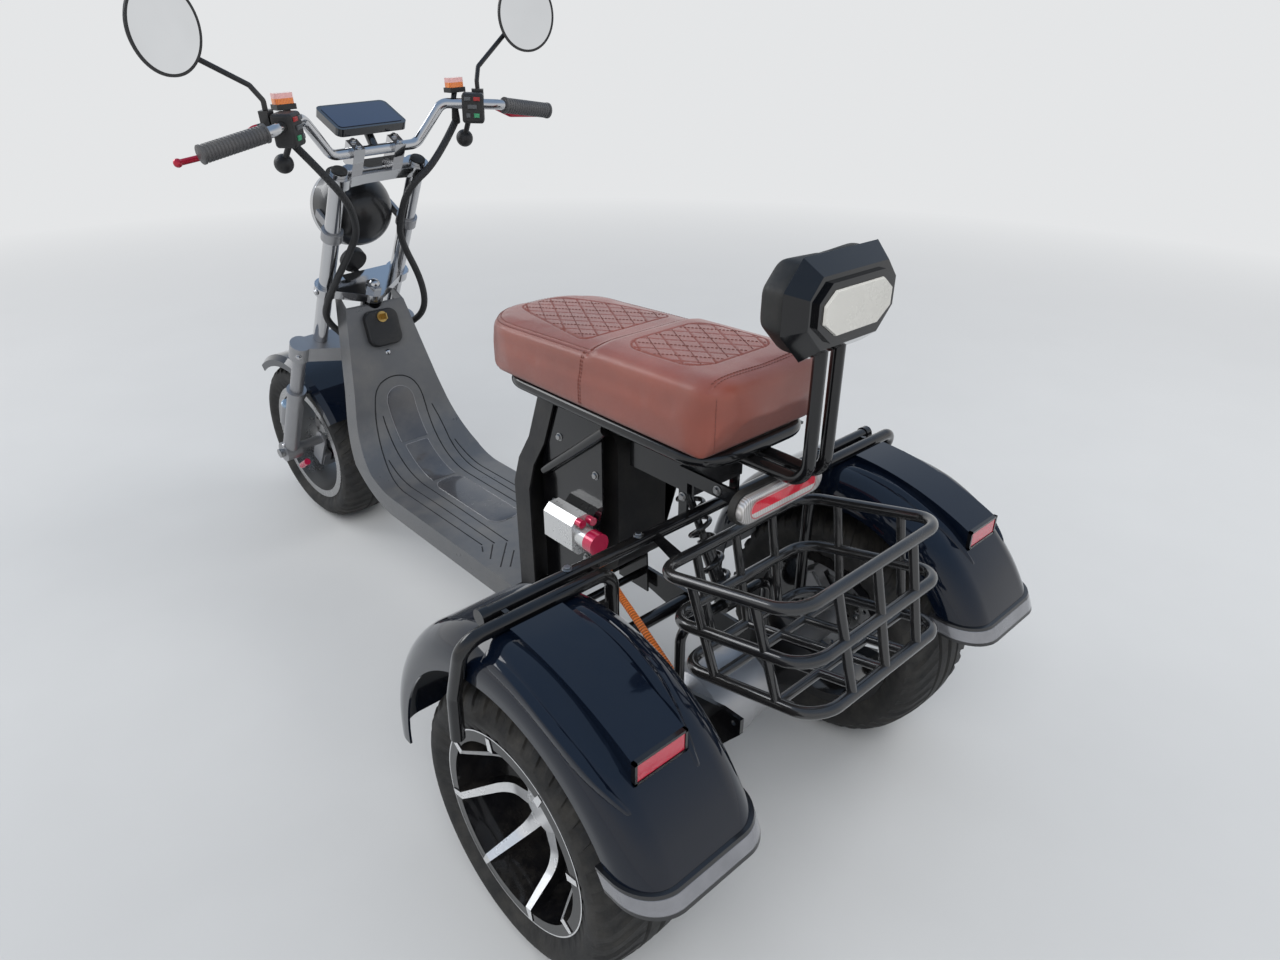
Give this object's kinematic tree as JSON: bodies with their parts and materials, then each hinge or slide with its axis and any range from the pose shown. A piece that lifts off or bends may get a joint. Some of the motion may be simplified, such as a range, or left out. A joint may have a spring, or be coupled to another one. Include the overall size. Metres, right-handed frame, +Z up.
{
  "type": "motorized trike",
  "caption": "Three-wheeled motor scooter with a step-through deck, bench seat, small backrest, rear fenders and a tube basket over the rear axle.",
  "frame": {"origin": "centre of the footprint on the ground", "axes": "+X to the vehicle's left, -Y forward, +Z up"},
  "size_m": [1.0206, 2.103, 1.4043],
  "materials": {
    "amber_lens": "amber plastic lens",
    "black_paint": "gloss black painted steel",
    "black_plastic": "matte black plastic",
    "blue_paint": "dark blue gloss paint",
    "brass": "worn brass",
    "cast_grey": "cast alloy housing",
    "chrome": "bright chrome",
    "clear_lens": "clear moulded lens",
    "cream_plastic": "cream plastic",
    "deck_plastic": "satin dark grey moulded plastic",
    "mirror": "silvered glass",
    "orange_sleeve": "orange ribbed sleeve",
    "red_cap": "bright red plastic caps",
    "red_plastic": "red reflector plastic",
    "rim_alloy": "cast alloy",
    "rim_black": "gloss black cast alloy with machined spoke faces",
    "rubber": "soft black rubber",
    "seat_leather": "red brown stitched leather, worn",
    "steel": "machined steel",
    "trim_grey": "pale grey glossy plastic strip",
    "tyre_rubber": "black rubber, dusty"
  },
  "bodies": {
    "chassis": {"axle_carrier": "black_paint", "axle_housing": "cast_grey", "backrest_cushion": "seat_leather", "backrest_insert": "cream_plastic", "backrest_shell": "black_plastic", "basket": "black_paint", "battery_box": "black_plastic", "cable_loop_left": "rubber", "cable_loop_right": "rubber", "damper_body": "steel", "damper_coil": "steel", "deck": "deck_plastic", "drive_motor": "cast_grey", "fender_trims": "trim_grey", "fenders": "blue_paint", "key_lock": "brass", "lock_plate": "black_plastic", "main_frame": "black_paint", "orange_conduit": "orange_sleeve", "rear_calipers": "cast_grey", "rear_frame": "black_paint", "reflectors": "red_plastic", "riser_panel": "black_plastic", "seat": "seat_leather", "seat_frame": "black_paint", "tail_lamp_base": "rubber", "tail_lamp_lens": "clear_lens", "trim_unit": "cast_grey", "trim_unit_caps": "red_cap"},
    "front_end": {"display": "black_plastic", "fork_clamps": "chrome", "fork_crown": "cast_grey", "fork_legs": "cast_grey", "fork_tubes": "chrome", "front_axle_rod": "steel", "front_caliper": "cast_grey", "front_fender": "blue_paint", "grips": "rubber", "handlebar": "chrome", "headlamp_bracket": "cast_grey", "headlamp_bucket": "black_plastic", "headlamp_lens": "clear_lens", "horn": "black_plastic", "indicator_bodies": "black_plastic", "indicator_lenses": "amber_lens", "levers": "red_cap", "mirror_glasses": "mirror", "mirrors": "black_plastic", "switches": "black_plastic"},
    "front_wheel": {"front_disc": "steel", "front_rim": "rim_alloy", "front_tyre": "tyre_rubber"},
    "rear_left_wheel": {"rear_left_disc": "steel", "rear_left_rim": "rim_black", "rear_left_tyre": "tyre_rubber"},
    "rear_right_wheel": {"rear_right_disc": "steel", "rear_right_rim": "rim_black", "rear_right_tyre": "tyre_rubber"}
  },
  "joints": [
    {"name": "steering", "type": "hinge", "parent": "chassis", "child": "front_end", "pos_m": [0, -0.51577, 0.64638], "axis": [0, 0.5075, 0.8616], "range_deg": [-39, 31], "deforming": ["cable_loop_left", "cable_loop_right"]},
    {"name": "front_wheel_spin", "type": "hinge", "parent": "front_end", "child": "front_wheel", "pos_m": [0.00335, -0.8108, 0.23987], "axis": [0.9976, 0.0601, -0.0354], "continuous": true},
    {"name": "rear_left_wheel_spin", "type": "hinge", "parent": "chassis", "child": "rear_left_wheel", "pos_m": [0.371, 0.7161, 0.23993], "axis": [1, 0, 0], "continuous": true},
    {"name": "rear_right_wheel_spin", "type": "hinge", "parent": "chassis", "child": "rear_right_wheel", "pos_m": [-0.371, 0.7161, 0.23993], "axis": [1, 0, 0], "continuous": true}
  ]
}
